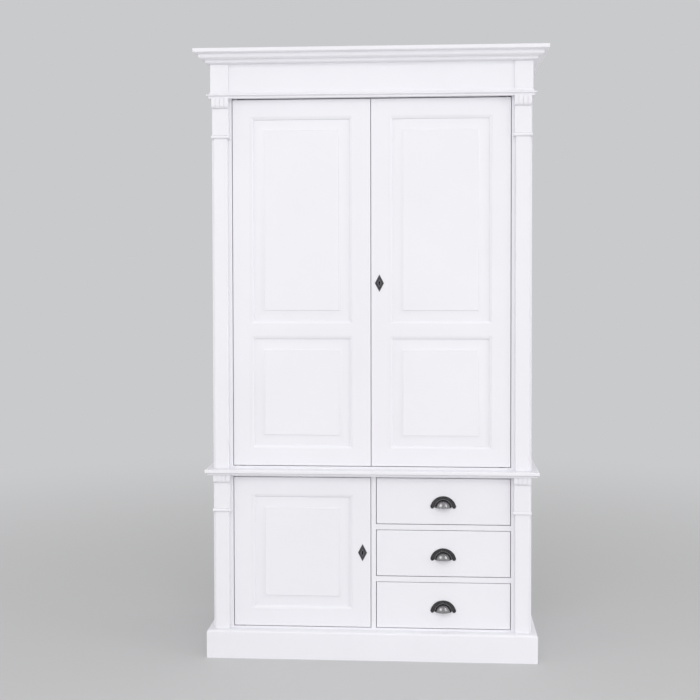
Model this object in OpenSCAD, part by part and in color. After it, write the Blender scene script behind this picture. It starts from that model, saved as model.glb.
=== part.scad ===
// Two-part painted country wardrobe: a lower cabinet with one door and three drawers,
// an upper cabinet with two panelled doors, and a crown with a stepped cornice.
// Millimetres. +Z up, front faces -Y, origin on the floor under the middle of the whole.
// Modules below are drawn with the door faces in the plane y = 0, then set back by place().

/* [Body] */
// Width of both cabinets over their sides
body_w = 1070; // [900:10:1300]
// Depth of both cabinets from the door faces to the back edge
body_d = 550; // [420:10:650]
// Thickness of the cabinet sides
side_t = 20; // [16:1:25]
// Thickness of face-frame wood and doors
front_t = 22; // [20:1:25]
// Width of the face-frame stiles beside the doors
stile_w = 67.5; // [60:0.5:90]
// Thickness of the back panels
back_t = 8; // [4:1:10]
// How far the back panels lie in from the back edge
back_inset = 2; // [0:1:6]

/* [Plinth] */
// Height of the plinth with its base board
plinth_h = 94; // [80:1:140]
// How far the plinth stands out past the sides and pilasters
plinth_reach = 20; // [10:1:30]
// Thickness of the upright plinth boards
plinth_board_t = 22; // [18:1:30]
// Thickness of the base board on top of the plinth
base_t = 18; // [16:1:24]
// Radius of the base board's rounded edge
base_round = 8; // [2:1:12]

/* [Lower cabinet] */
// Height of the base rail under the lower door and the bottom drawer
base_rail_h = 7; // [5:1:30]
// Height of each drawer opening
drawer_open_h = 158; // [120:1:200]
// Thickness of the rails between the drawers
drawer_rail_t = 18; // [12:1:25]
// Depth of the rails between the drawers
drawer_rail_d = 60; // [40:1:90]
// Height of the rail over the lower openings
lower_head_h = 9; // [8:1:30]
// Thickness of the partition between the door and the drawers
lower_part_t = 16; // [16:1:22]
// Where the left face of that partition stands, from the middle
lower_part_x = 0; // [-60:1:60]

/* [Waist board] */
// Thickness of the waist board
waist_t = 18; // [16:1:30]
// Height of the waist board's nose
waist_nose_h = 12; // [8:1:14]
// How far the nose stands out past the sides and pilasters
waist_reach = 24; // [10:1:35]
// Radius on the nose's edges
waist_round = 3; // [1:0.5:4]

/* [Upper cabinet] */
// Height of the sill rail under the upper doors
sill_h = 9; // [8:1:30]
// Height of the opening for the upper doors
upper_open_h = 1236; // [1000:1:1500]
// Thickness of the head board with its bead edge
head_t = 24; // [20:1:30]
// How far the bead stands out past the frieze
bead_reach = 12; // [6:1:20]
// How far the small fillet under the bead stands out past the frieze
bead_fillet_reach = 5; // [2:1:6]
// Thickness of the upper partition behind the meeting doors
upper_part_t = 18; // [16:1:22]

/* [Crown] */
// Height of the frieze
frieze_h = 91; // [60:1:140]
// How far the frieze stands out past the sides
frieze_over = 2; // [0:1:10]
// How far the end blocks stand out in front of the frieze
frieze_block_t = 5; // [3:1:10]
// Thickness of the frieze boards
frieze_t = 22; // [16:1:25]
// Height of the cornice
cornice_h = 45; // [35:1:70]
// How far the cornice stands out past the frieze blocks
cornice_reach = 49.5; // [35:0.5:70]
// Thickness of the dust lid
lid_t = 8; // [5:1:12]
// How deep the dust lid lies below the top of the cornice
lid_inset = 10; // [5:1:15]

/* [Pilasters] */
// Distance of the pilasters' middle lines from the sides
pil_in = 31; // [28:0.5:40]
// Width of the pilaster shafts
pil_w = 48; // [36:1:56]
// Thickness of the pilaster shafts
pil_t = 14; // [10:1:18]
// Width of the neck blocks above the bands
neck_w = 56; // [40:1:60]
// Thickness of the neck blocks above the bands
neck_t = 16; // [12:1:20]
// Rounding on the pilasters' front edges
pil_round = 3; // [1:0.5:4]
// Width of the bands
band_w = 62; // [50:1:67]
// Height of the bands
band_h = 11; // [6:1:14]
// How far the bands stand out from the face frame
band_t = 20; // [17:1:26]
// Height of the upper capitals
upper_cap_h = 33; // [24:1:50]
// Height of the lower capitals
lower_cap_h = 28; // [20:1:40]
// How far the capitals stand out from the face frame at the top
cap_t = 26; // [20:1:32]
// Distance from the top of an upper capital to the middle of its band
upper_band_drop = 128; // [90:1:200]
// Distance from the top of a lower capital to the middle of its band
lower_band_drop = 122; // [90:1:180]
// Number of reeds on a capital
reed_n = 4; // [3:1:6]
// Width of the grooves between the reeds
reed_gap = 2.5; // [1.5:0.5:4]
// Depth of the grooves between the reeds
reed_depth = 2.5; // [1:0.5:4]

/* [Doors] */
// Gap round the doors and drawer fronts
door_gap = 2; // [2:0.5:4]
// Gap over the upper doors
upper_top_gap = 3; // [3:0.5:6]
// Gap between the two upper doors
seam_gap = 2; // [1:0.5:4]
// Face width of the door stiles
dstile_w = 61; // [50:1:80]
// Face height of the doors' top and bottom rails
drail_h = 58; // [45:1:80]
// Face height of the rail between the two panels of an upper door
lock_rail_h = 42; // [30:1:80]
// Height of the lower panel's opening in an upper door, as seen on the face
low_panel_h = 379; // [200:1:500]
// Width of the moulded edge round a panel
stick_w = 10; // [6:0.5:14]
// Depth of the moulded edge round a panel
stick_d = 8; // [5:0.5:9]
// Width of the cove that raises a panel's field
raise_w = 36; // [20:1:50]
// Rise of that cove
raise_h = 5.5; // [3:0.5:6]
// Upright step at the edge of the field
field_step = 1.5; // [0.5:0.5:2]
// Thickness of a panel's tongue
tongue_t = 6; // [4:0.5:7]
// Depth of the groove that holds a panel
groove_d = 10; // [6:1:14]
// Clearance of a panel in its groove, on each edge
panel_play = 1; // [0.5:0.5:2]
// Radius on the outer front edges of the doors and drawer fronts
arris = 1.5; // [0.5:0.5:3]

/* [Pivot hinges] */
// Distance of the pivot from the door's hinged edge
pivot_in = 12; // [10:1:16]
// Distance of the pivot behind the door's face
pivot_back = 7; // [6.5:0.5:8]
// Radius of the pivot pins
pin_r = 3; // [2:0.5:4]
// Running clearance of the pins, on the radius
pin_play = 0.05; // [0.02:0.01:0.1]
// How far the pins reach into the doors
pin_reach = 14; // [10:1:20]
// Wall of the bushes
bush_wall = 1.5; // [1:0.5:2]
// Running gap between a door's bush and the collar that carries it
thrust_gap = 0.3; // [0.1:0.1:0.5]
// Thickness of the plates that hold the pins
plate_t = 2; // [1.5:0.5:3]

/* [Locks] */
// Width of the lock cases
lock_w = 50; // [40:1:60]
// Height of the lock cases
lock_h = 64; // [50:1:80]
// Depth of the lock cases
lock_d = 14; // [12:1:20]
// Height of the bolts
bolt_h = 16; // [10:1:20]
// Thickness of the bolts
bolt_t = 6; // [4:0.5:8]
// Travel of the bolts
bolt_throw = 10; // [6:1:12]
// Clearance round the bolts
bolt_play = 0.3; // [0.2:0.1:0.5]
// Distance of the keyholes from the door's free edge
key_in = 27.5; // [20:0.5:32]
// Width of the escutcheons
esc_w = 30; // [26:1:40]
// Height of the escutcheons
esc_h = 58; // [50:1:70]
// Thickness of the escutcheons
esc_t = 2; // [2:0.5:3]
// Width of the raised lozenge round a keyhole
esc_boss_w = 15; // [14:1:20]
// Height of the raised lozenge round a keyhole
esc_boss_h = 28; // [26:1:36]

/* [Drawers] */
// Space left behind the drawer boxes
drawer_rear_gap = 40; // [20:5:200]
// Height of the drawer sides
drawer_side_h = 130; // [90:1:150]
// Thickness of the drawer sides and backs
drawer_side_t = 12; // [10:1:16]
// Thickness of the drawer bottoms
drawer_floor_t = 6; // [4:1:8]
// Height of the drawer bottoms above the lower edges of the drawer sides
drawer_floor_z = 10; // [9:1:16]
// Play of a drawer on each side
drawer_play = 1; // [0.5:0.5:2]
// Running gap between a drawer and its runners
run_gap = 0.3; // [0.1:0.1:0.5]
// Width of the left runners
runner_w = 40; // [25:1:60]
// Height of the guide strips on the right runners
guide_h = 20; // [12:1:30]
// Height of the drawer stops above the rails
stop_h = 7; // [5:1:8]

/* [Pulls] */
// Radius of a pull's outer edge
pull_r = 44; // [40:1:55]
// Distance of that edge's centre below the middle of a drawer front
pull_drop = 26; // [15:1:35]
// Width of the pull's ears
ear_w = 12; // [10:0.5:14]
// Height of the ears above the centre of the outer edge
ear_up = 8.5; // [7:0.5:12]
// Radius of the cup's foot
cup_r = 26.5; // [24:0.5:29]
// Height of the cup's axis above the centre of the outer edge
cup_up = 5; // [3:0.5:7]
// How far the cup stands out from the drawer front
cup_out = 24; // [18:1:30]
// Height of the cup's open lip above its axis
lip_up = 1; // [0:0.5:8]
// Wall of the cup
cup_wall = 1.8; // [1.5:0.1:3]
// Thickness of the flange
flange_t = 2; // [1.5:0.5:3]

/* [Inside] */
// Thickness of the shelves
shelf_t = 18; // [15:1:22]
// Set-back of the shelves behind the door faces
shelf_in = 50; // [45:1:100]
// Play of the loose shelves at their ends
shelf_play = 1; // [0.5:0.5:2]
// Height of the hat shelf above the sill
hat_shelf_up = 1050; // [800:10:1100]
// Number of shelves on the right
shelf_n = 4; // [2:1:5]
// Height of the lower cabinet's shelf above its base board
lower_shelf_up = 262; // [180:1:320]
// Radius of the hanging rail
rod_r = 12.5; // [10:0.5:16]
// Wall of the hanging rail
rod_wall = 1.5; // [1:0.5:2]
// Clearance of the hanging rail in its sockets, on the radius
rod_fit = 0.2; // [0.1:0.1:0.5]
// Distance of the hanging rail below the hat shelf
rod_drop = 60; // [40:1:100]
// Radius of the shelf pegs
peg_r = 2.5; // [2:0.5:4]

/* [Hidden] */
$fn = 48;

// Hairline left in the joint between two boards of one group
hairline = 0.1;

paint = [0.93, 0.93, 0.94];
inner_paint = [0.9, 0.9, 0.9];
dark_metal = [0.2, 0.2, 0.21];
brass = [0.75, 0.6, 0.3];
steel = [0.7, 0.7, 0.72];

eps = 1;
half_w = body_w / 2;
in_x = half_w - side_t;
open_x = half_w - stile_w;
back_y = body_d - back_inset - back_t;

// Levels, from the floor up
lower_open_z = plinth_h + base_rail_h;
drawer_pitch = drawer_open_h + drawer_rail_t;
lower_open_h = 3 * drawer_open_h + 2 * drawer_rail_t;
lower_open_top = lower_open_z + lower_open_h;
lower_top = lower_open_top + lower_head_h;
waist_top = lower_top + waist_t;
upper_open_z = waist_top + sill_h;
upper_open_top = upper_open_z + upper_open_h;
head_top = upper_open_top + head_t;
frieze_top = head_top + frieze_h;
total_h = frieze_top + cornice_h;

// Faces of the mouldings: the waist and plinth stand out from the neck blocks and sides,
// the bead and cornice from the frieze blocks
frieze_x = half_w + frieze_over;
block_y = -(neck_t + frieze_over);
frieze_y = block_y + frieze_block_t;
top_reach_y = cornice_reach - block_y;
front_y = -(body_d + top_reach_y) / 2 + top_reach_y;

// Drawer bay, between the partition and the right stile
bay_l = lower_part_x + lower_part_t;
bay_r = open_x;

// Upper doors
udoor_z = upper_open_z + door_gap;
udoor_h = upper_open_h - door_gap - upper_top_gap;
udoor_w = open_x - door_gap - seam_gap / 2;
// Lower door
ldoor_z = lower_open_z + door_gap;
ldoor_h = lower_open_h - 2 * door_gap;
ldoor_w = open_x + lower_part_x - 2 * door_gap;
door_l = -open_x + door_gap;

// Panel openings on a door's face, each as [bottom, top] above the door's lower edge
udoor_panels = [
    [drail_h, drail_h + low_panel_h],
    [drail_h + low_panel_h + lock_rail_h, udoor_h - drail_h]
];
ldoor_panels = [[drail_h, ldoor_h - drail_h]];

udoor_mid = udoor_z + udoor_h / 2;
ldoor_mid = ldoor_z + ldoor_h / 2;
ukey_x = seam_gap / 2 + key_in;
lkey_x = door_l + ldoor_w - key_in;

function arc(cx, cy, rx, ry, a0, a1, n) =
    [for (i = [0:n]) let (a = a0 + (a1 - a0) * i / n) [cx + rx * cos(a), cy + ry * sin(a)]];
function drawer_z(i) = lower_open_z + (3 - i) * drawer_pitch;

module place() {
    translate([0, front_y, 0]) children();
}

// A box given by its two corners
module block(a, b) {
    translate(a) cube(b - a);
}

// Extrudes an outline drawn in (y, z) along X, from x0 to x1
module along_x(x0, x1) {
    translate([x0, 0, 0]) rotate([90, 0, 90]) linear_extrude(x1 - x0) children();
}

// Extrudes an outline drawn in (x, z) along Y, from y0 to y1
module along_y(y0, y1) {
    translate([0, y1, 0]) rotate([90, 0, 0]) linear_extrude(y1 - y0) children();
}

module both_sides() {
    children();
    mirror([1, 0, 0]) children();
}

// A board whose front and side edges carry one moulding with mitred corners.
// edge lists [reach, z] from the bottom to the top; fx and fy are the faces it reaches from.
module edged_board(edge, fx, fy, back) {
    z0 = edge[0][1];
    z1 = edge[len(edge) - 1][1];
    far = max([for (p = edge) p[0]]) + eps;
    intersection() {
        along_x(-fx - far, fx + far)
            polygon(concat([[back, z1], [back, z0]], [for (p = edge) [fy - p[0], p[1]]]));
        along_y(fy - far, back)
            polygon(concat([for (p = edge) [fx + p[0], p[1]]],
                           [for (i = [len(edge) - 1:-1:0]) [-fx - edge[i][0], edge[i][1]]]));
    }
}

// Plinth: four upright boards, mitred at the front corners
plinth_x = half_w + plinth_reach;
plinth_y = -neck_t - plinth_reach;
plinth_up = plinth_h - base_t;

module plinth() color(paint) place() {
    t = plinth_board_t;
    linear_extrude(plinth_up) polygon([
        [-plinth_x, plinth_y], [plinth_x, plinth_y],
        [plinth_x - t, plinth_y + t], [-plinth_x + t, plinth_y + t]]);
    both_sides() linear_extrude(plinth_up) polygon([
        [plinth_x, plinth_y + hairline], [plinth_x, body_d],
        [plinth_x - t, body_d], [plinth_x - t, plinth_y + t + hairline]]);
    block([-plinth_x + t + hairline, body_d - t, 0], [plinth_x - t - hairline, body_d, plinth_up]);
}

// Base board: floor of the lower cabinet, with a rounded edge that shows over the plinth
module base_board() color(paint) place()
    edged_board(concat([[plinth_reach, plinth_up]],
                       arc(plinth_reach - base_round, plinth_h - base_round,
                           base_round, base_round, 0, 90, 6)),
                half_w, -neck_t, body_d);

module lower_sides() color(paint) place()
    both_sides() block([in_x, front_t, plinth_h], [half_w, body_d, lower_top]);

module back_panels() color(inner_paint) place() {
    block([-in_x, back_y, plinth_h], [in_x, back_y + back_t, lower_top]);
    block([-in_x, back_y, waist_top], [in_x, back_y + back_t, upper_open_top]);
}

// Pocket for a lock bolt, from face x0 inwards to x1, around the bolt's line
module bolt_pocket(x0, x1, zc) {
    block([min(x0, x1), bolt_y - bolt_room, zc - bolt_h / 2 - bolt_room],
          [max(x0, x1), bolt_y + bolt_t + bolt_room, zc + bolt_h / 2 + bolt_room]);
}

bolt_room = 1;
bolt_y = front_t + (lock_d - bolt_t) / 2;
bolt_up = 14;
ubolt_z = udoor_mid + bolt_up;
lbolt_z = ldoor_mid + bolt_up;
partition_gap = 1;
case_gap = 2;

// The lower partition shows as the mullion between the lower door and the drawers
module lower_partition() color(paint) place() difference() {
    union() {
        block([lower_part_x, front_t, plinth_h], [bay_l, back_y, lower_top]);
        block([lower_part_x, 0, lower_open_z], [bay_l, front_t + eps, lower_open_top]);
    }
    bolt_pocket(lower_part_x - eps, lower_part_x - door_gap + bolt_throw + bolt_room, lbolt_z);
}

rail_x = open_x - hairline;

module lower_face_frame() color(paint) place() {
    both_sides() block([open_x, 0, plinth_h], [half_w, front_t, lower_top]);
    difference() {
        union() {
            block([-rail_x, 0, plinth_h], [rail_x, front_t, lower_open_z]);
            block([-rail_x, 0, lower_open_top], [rail_x, front_t, lower_top]);
        }
        all_plates();
    }
}

module drawer_rails() color(paint) place()
    for (i = [1:2]) {
        z = drawer_z(i) - drawer_rail_t;
        block([bay_l, 0, z], [bay_r, front_t, z + drawer_rail_t]);
        block([bay_l, front_t, z], [in_x, drawer_rail_d, z + drawer_rail_t]);
    }

stop_gap = 0.3;
stop_d = 22;
stop_w = 30;
stop_in = 90;

// Runners, kickers under the waist board, guide strips and drawer stops
module drawer_runners() color(inner_paint) place() {
    guide_l = bay_r;
    run_l = bay_r - runner_w;
    for (i = [1:3]) {
        z = drawer_z(i);
        low = i == 3 ? plinth_h : z - drawer_rail_t;
        y0 = i == 3 ? front_t : drawer_rail_d;
        block([bay_l, y0, low], [bay_l + runner_w, back_y, z]);
        block([run_l, y0, low], [in_x, back_y, z]);
        block([guide_l, front_t, z + hairline], [in_x, back_y, z + guide_h]);
        stop_z = i == 3 ? plinth_h : z;
        for (x = [bay_l + stop_in, bay_r - stop_in - stop_w])
            block([x, front_t + stop_gap, stop_z],
                  [x + stop_w, front_t + stop_gap + stop_d, z + stop_h]);
    }
    block([bay_l, front_t, lower_open_top], [bay_l + runner_w, back_y, lower_top]);
    block([run_l, front_t, lower_open_top], [in_x, back_y, lower_top]);
}

// Waist board's edge: a cove over a foot set back under the nose
waist_foot_in = 8;
waist_quirk = 2;

module waist_board() color(paint) place()
    edged_board(concat(
            [[waist_reach - waist_foot_in, lower_top]],
            arc(waist_reach - waist_quirk, lower_top,
                waist_foot_in - waist_quirk, waist_t - waist_nose_h, 180, 90, 4),
            arc(waist_reach - waist_round, waist_top - waist_nose_h + waist_round,
                waist_round, waist_round, -90, 0, 4),
            arc(waist_reach - waist_round, waist_top - waist_round,
                waist_round, waist_round, 0, 90, 4)),
        half_w, -neck_t, body_d);

lower_shelf_z = plinth_h + lower_shelf_up;

module lower_shelf() color(inner_paint) place()
    block([-in_x + shelf_play, shelf_in, lower_shelf_z],
          [lower_part_x - shelf_play, back_y - shelf_play, lower_shelf_z + shelf_t]);

peg_len = 8;
peg_inset = 40;
upart = upper_part_t / 2;
hat_z = upper_open_z + hat_shelf_up;
shelf_gap_z = upper_open_h / (shelf_n + 1);

function shelf_z(k) = upper_open_z + k * shelf_gap_z;

// Four pegs under a shelf that spans from x0 to x1
module pegs(x0, x1, z) {
    for (y = [shelf_in + peg_inset, back_y - peg_inset]) {
        translate([x0, y, z - peg_r]) rotate([0, 90, 0]) cylinder(r = peg_r, h = peg_len);
        translate([x1 - peg_len, y, z - peg_r]) rotate([0, 90, 0]) cylinder(r = peg_r, h = peg_len);
    }
}

module shelf_pegs() color(steel) place() {
    pegs(-in_x, lower_part_x, lower_shelf_z);
    pegs(-in_x, -upart, hat_z);
    for (k = [1:shelf_n]) pegs(upart, in_x, shelf_z(k));
}

module upper_sides() color(paint) place()
    both_sides() block([in_x, front_t, waist_top], [half_w, body_d, upper_open_top]);

module upper_floor() color(inner_paint) place()
    block([-in_x, front_t, waist_top], [in_x, back_y, upper_open_z]);

module upper_partition() color(inner_paint) place() difference() {
    block([-upart, front_t + partition_gap, upper_open_z], [upart, back_y, upper_open_top]);
    bolt_pocket(upart + eps, upart + case_gap - bolt_throw - bolt_room, ubolt_z);
}

module upper_face_frame() color(paint) place() {
    both_sides() block([open_x, 0, waist_top], [half_w, front_t, upper_open_top]);
    difference() {
        block([-rail_x, 0, waist_top], [rail_x, front_t, upper_open_z]);
        all_plates();
    }
}

// Head board: its edge is the bead under the frieze, a cove over a nose over a small fillet
bead_fillet_h = 4;
bead_nose_z = 12;
bead_nose_h = 3;

module head_board() color(paint) place() difference() {
    edged_board(concat(
            [[bead_fillet_reach, upper_open_top],
             [bead_fillet_reach, upper_open_top + bead_fillet_h]],
            arc(bead_reach, upper_open_top + bead_fillet_h,
                bead_reach - bead_fillet_reach, bead_nose_z - bead_nose_h - bead_fillet_h,
                180, 90, 4),
            [[bead_reach, upper_open_top + bead_nose_z]],
            arc(bead_reach, head_top, bead_reach, head_t - bead_nose_z, 270, 180, 5)),
        frieze_x, block_y, body_d);
    all_plates();
}

// Hat shelf over the hanging rail on the left, loose shelves on the right
module upper_shelves() color(inner_paint) place() {
    block([-in_x + shelf_play, shelf_in, hat_z],
          [-upart - shelf_play, back_y - shelf_play, hat_z + shelf_t]);
    for (k = [1:shelf_n])
        block([upart + shelf_play, shelf_in, shelf_z(k)],
              [in_x - shelf_play, back_y - shelf_play, shelf_z(k) + shelf_t]);
}

rod_y = body_d / 2;
rod_z = hat_z - rod_drop;
socket_t = 3;
socket_len = 14;
socket_r = rod_r + rod_fit;
socket_wall = 2;
socket_flange_w = 8;

module hanging_rail() color(steel) place()
    translate([-in_x + socket_t, rod_y, rod_z]) rotate([0, 90, 0]) difference() {
        cylinder(r = rod_r, h = in_x - upart - 2 * socket_t);
        translate([0, 0, -eps]) cylinder(r = rod_r - rod_wall, h = in_x);
    }

module rail_socket() rotate([0, 90, 0]) {
    cylinder(r = socket_r + socket_wall + socket_flange_w, h = socket_t);
    translate([0, 0, socket_t]) difference() {
        cylinder(r = socket_r + socket_wall, h = socket_len - socket_t);
        cylinder(r = socket_r, h = socket_len);
    }
}

module rail_sockets() color(steel) place() {
    translate([-in_x, rod_y, rod_z]) rail_socket();
    translate([-upart, rod_y, rod_z]) mirror([1, 0, 0]) rail_socket();
}

lid_z = total_h - lid_inset - lid_t;

// Frieze boards run up behind the cornice and carry the dust lid
module frieze_boards() color(paint) place() {
    block([-frieze_x, frieze_y, head_top], [frieze_x, frieze_y + frieze_t, lid_z]);
    both_sides() block([frieze_x - frieze_t, frieze_y + frieze_t + hairline, head_top],
                       [frieze_x, body_d, lid_z]);
    block([-frieze_x + frieze_t + hairline, body_d - frieze_t, head_top],
          [frieze_x - frieze_t - hairline, body_d, lid_z]);
}

// Pilasters stand on the stiles; the frieze blocks carry their neck blocks' lines up
pil_x = half_w - pil_in;

module frieze_blocks() color(paint) place()
    both_sides() block([pil_x - neck_w / 2, block_y, head_top], [frieze_x, frieze_y, frieze_top]);

// Stepped cornice: three rounded steps, each a short fillet over a quarter round.
// Each step is [reach of its fillet, top, bottom of its fillet, reach at its foot, foot height]
// as shares of the cornice's reach and height.
step_shares = [
    [0.30, 0.27, 0.11, 0.00, 0.00],
    [0.68, 0.66, 0.47, 0.32, 0.27],
    [1.00, 1.00, 0.77, 0.70, 0.66]
];

function cornice_step(s) = concat(
    arc(s[3] * cornice_reach, frieze_top + s[2] * cornice_h,
        (s[0] - s[3]) * cornice_reach, (s[2] - s[4]) * cornice_h, 270, 360, 6),
    [[s[0] * cornice_reach, frieze_top + s[1] * cornice_h]]);

cornice_edge = [for (s = step_shares) each cornice_step(s)];

module cornice() color(paint) place() {
    r = cornice_reach;
    intersection() {
        along_x(-frieze_x - r, frieze_x + r)
            polygon(concat([[frieze_y, total_h], [frieze_y, frieze_top]],
                           [for (p = cornice_edge) [block_y - p[0], p[1]]]));
        linear_extrude(total_h + eps) polygon([
            [-frieze_x + frieze_block_t, frieze_y], [frieze_x - frieze_block_t, frieze_y],
            [frieze_x + r, block_y - r], [-frieze_x - r, block_y - r]]);
    }
    both_sides() intersection() {
        along_y(block_y - r, body_d)
            polygon(concat([[frieze_x, total_h], [frieze_x, frieze_top]],
                           [for (p = cornice_edge) [frieze_x + p[0], p[1]]]));
        linear_extrude(total_h + eps) polygon([
            [frieze_x, block_y + hairline], [frieze_x + r, block_y - r + hairline],
            [frieze_x + r, body_d], [frieze_x, body_d]]);
    }
}

module crown_lid() color(inner_paint) place()
    block([-frieze_x, frieze_y, lid_z], [frieze_x, body_d, lid_z + lid_t]);

// Upright with rounded front edges, centred on a pilaster's middle line
module upright(w, t, z0, z1) {
    r = pil_round;
    translate([pil_x, 0, z0]) linear_extrude(z1 - z0)
        polygon(concat([[w / 2, 0], [-w / 2, 0]],
                       arc(-w / 2 + r, -t + r, r, r, 180, 270, 4),
                       arc(w / 2 - r, -t + r, r, r, 270, 360, 4)));
}

module pilaster_pair(z0, band_z, cap_z) both_sides() {
    upright(pil_w, pil_t, z0, band_z - band_h / 2);
    upright(neck_w, neck_t, band_z + band_h / 2, cap_z);
}

lower_band_z = lower_top - lower_band_drop;
upper_band_z = upper_open_top - upper_band_drop;

module pilasters() color(paint) place() {
    pilaster_pair(plinth_h, lower_band_z, lower_top - lower_cap_h);
    pilaster_pair(waist_top, upper_band_z, upper_open_top - upper_cap_h);
}

// Half-round band across the stile, level with its outer edge
module band(z) {
    x1 = half_w;
    r = band_h / 2;
    along_x(x1 - band_w, x1)
        polygon(concat([[0, z - r], [0, z + r]], arc(-band_t + r, z, r, r, 90, 270, 8)));
}

module pilaster_bands() color(paint) place()
    both_sides() {
        band(lower_band_z);
        band(upper_band_z);
    }

// Reeded capital: a block rounded in to its foot, whose front is cut into upright reeds. The
// rounding starts at this share of its height, from the top.
cap_turn = 0.68;
cap_foot_over = 1;

function cap_outline(z1, h, t, foot) = concat(
    [[0, z1 - h], [0, z1], [-t, z1]],
    arc(-foot, z1 - cap_turn * h, t - foot, (1 - cap_turn) * h, 180, 270, 6));

module capital(z1, h) {
    foot = neck_t + cap_foot_over;
    x0 = pil_x - neck_w / 2;
    reed_w = (neck_w - (reed_n - 1) * reed_gap) / reed_n;
    along_x(x0, x0 + neck_w) polygon(cap_outline(z1, h, cap_t - reed_depth, foot - reed_depth));
    for (i = [0:reed_n - 1])
        along_x(x0 + i * (reed_w + reed_gap), x0 + i * (reed_w + reed_gap) + reed_w)
            polygon(cap_outline(z1, h, cap_t, foot));
}

module capitals() color(paint) place() both_sides() {
    capital(lower_top, lower_cap_h);
    capital(upper_open_top, upper_cap_h);
}

// Pivot hinges. Each pivot is [x of the axis, plate's face z, +1 if the pin points up,
// gap from the plate's face to the door]
upivot_x = open_x - door_gap - pivot_in;
pivots = [
    [-upivot_x, upper_open_z, 1, door_gap],
    [-upivot_x, upper_open_top, -1, upper_top_gap],
    [upivot_x, upper_open_z, 1, door_gap],
    [upivot_x, upper_open_top, -1, upper_top_gap],
    [-upivot_x, lower_open_z, 1, door_gap],
    [-upivot_x, lower_open_top, -1, door_gap]
];
plate_w = 40;
plate_d = 12;
plate_in = 1;
collar_w = 2;

// Plates let into the wood, flush with its face
module all_plates() {
    for (p = pivots) {
        x1 = rail_x - plate_in;
        z0 = p[2] > 0 ? p[1] - plate_t : p[1];
        mirror([p[0] > 0 ? 0 : 1, 0, 0])
            block([x1 - plate_w, pivot_back - plate_d / 2, z0],
                  [x1, pivot_back + plate_d / 2, z0 + plate_t]);
    }
}

module pivot_plates() color(steel) place() {
    all_plates();
    for (p = pivots) translate([p[0], pivot_back, p[1]]) mirror([0, 0, p[2] > 0 ? 0 : 1]) {
        cylinder(r = pin_r, h = p[3] + pin_reach);
        cylinder(r = pin_r + collar_w, h = p[3] - thrust_gap);
    }
}

// Bush pressed into the end of a door stile
bush_over = 2;
bush_len = pin_reach + bush_over;
bush_bore_r = pin_r + pin_play;

// Places its children at the lower and upper pivot of a door, pointing into the door
module at_pivots(x, h) {
    for (m = [0, 1]) translate([x, pivot_back, m * h]) mirror([0, 0, m]) children();
}

module bushes(x, h) at_pivots(x, h) difference() {
    cylinder(r = bush_bore_r + bush_wall, h = bush_len);
    translate([0, 0, -eps]) cylinder(r = bush_bore_r, h = bush_len + 2 * eps);
}

module bush_holes(x, h) at_pivots(x, h)
    translate([0, 0, -eps]) cylinder(r = bush_bore_r + bush_wall, h = bush_len + eps);

// Doors are drawn with their lower left corner at the origin

// Moulded edge round a panel: [distance in from the face edge, depth], a quirk and an ovolo
stick_quirk = 1.5;
stick_edge = concat([[0, -eps]],
                    arc(0, stick_d, stick_w, stick_d - stick_quirk, -90, 0, 6));

// The void inside a panel opening whose face edges are x0, x1, z0, z1
module sight_void(x0, x1, z0, z1) {
    n = len(stick_edge) - 1;
    intersection() {
        translate([0, 0, z0 - eps]) linear_extrude(z1 - z0 + 2 * eps)
            polygon(concat([for (p = stick_edge) [x0 + p[0], p[1]]],
                           [[x0 + stick_w, front_t + eps], [x1 - stick_w, front_t + eps]],
                           [for (i = [n:-1:0]) [x1 - stick_edge[i][0], stick_edge[i][1]]]));
        along_x(x0 - eps, x1 + eps)
            polygon(concat([for (p = stick_edge) [p[1], z0 + p[0]]],
                           [[front_t + eps, z0 + stick_w], [front_t + eps, z1 - stick_w]],
                           [for (i = [n:-1:0]) [stick_edge[i][1], z1 - stick_edge[i][0]]]));
    }
}

module groove_void(x0, x1, z0, z1) {
    g = stick_w - groove_d;
    block([x0 + g, stick_d, z0 + g], [x1 - g, stick_d + tongue_t, z1 - g]);
}

module door_voids(w, panels) {
    for (p = panels) {
        sight_void(dstile_w, w - dstile_w, p[0], p[1]);
        groove_void(dstile_w, w - dstile_w, p[0], p[1]);
    }
}

tenon_t = 7;
tenon_len = 35;
tenon_in = 12;
tenon_back = 1;
tenon_y = (front_t - tenon_t) / 2 + tenon_back;

// Tenons of a rail between the heights z0 and z1, at both ends
module tenons(w, z0, z1) {
    for (x = [dstile_w - tenon_len, w - dstile_w])
        block([x, tenon_y, z0], [x + tenon_len, tenon_y + tenon_t, z1]);
}

function rail_spans(h, panels) = concat(
    [[0, panels[0][0]]],
    len(panels) > 1 ? [[panels[0][1], panels[1][0]]] : [],
    [[panels[len(panels) - 1][1], h]]);

module all_tenons(w, h, panels) {
    for (s = rail_spans(h, panels)) {
        z0 = s[0] + (s[0] > 0 ? 0 : tenon_in);
        z1 = s[1] - (s[1] < h ? 0 : tenon_in);
        tenons(w, z0, z1);
    }
}

// Face of one stile with its share of the mitred moulding
module stile_face(h, panels) {
    union() {
        square([dstile_w, h]);
        for (p = panels) polygon([
            [dstile_w, p[0]], [dstile_w + stick_w, p[0] + stick_w],
            [dstile_w + stick_w, p[1] - stick_w], [dstile_w, p[1]]]);
    }
}

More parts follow.
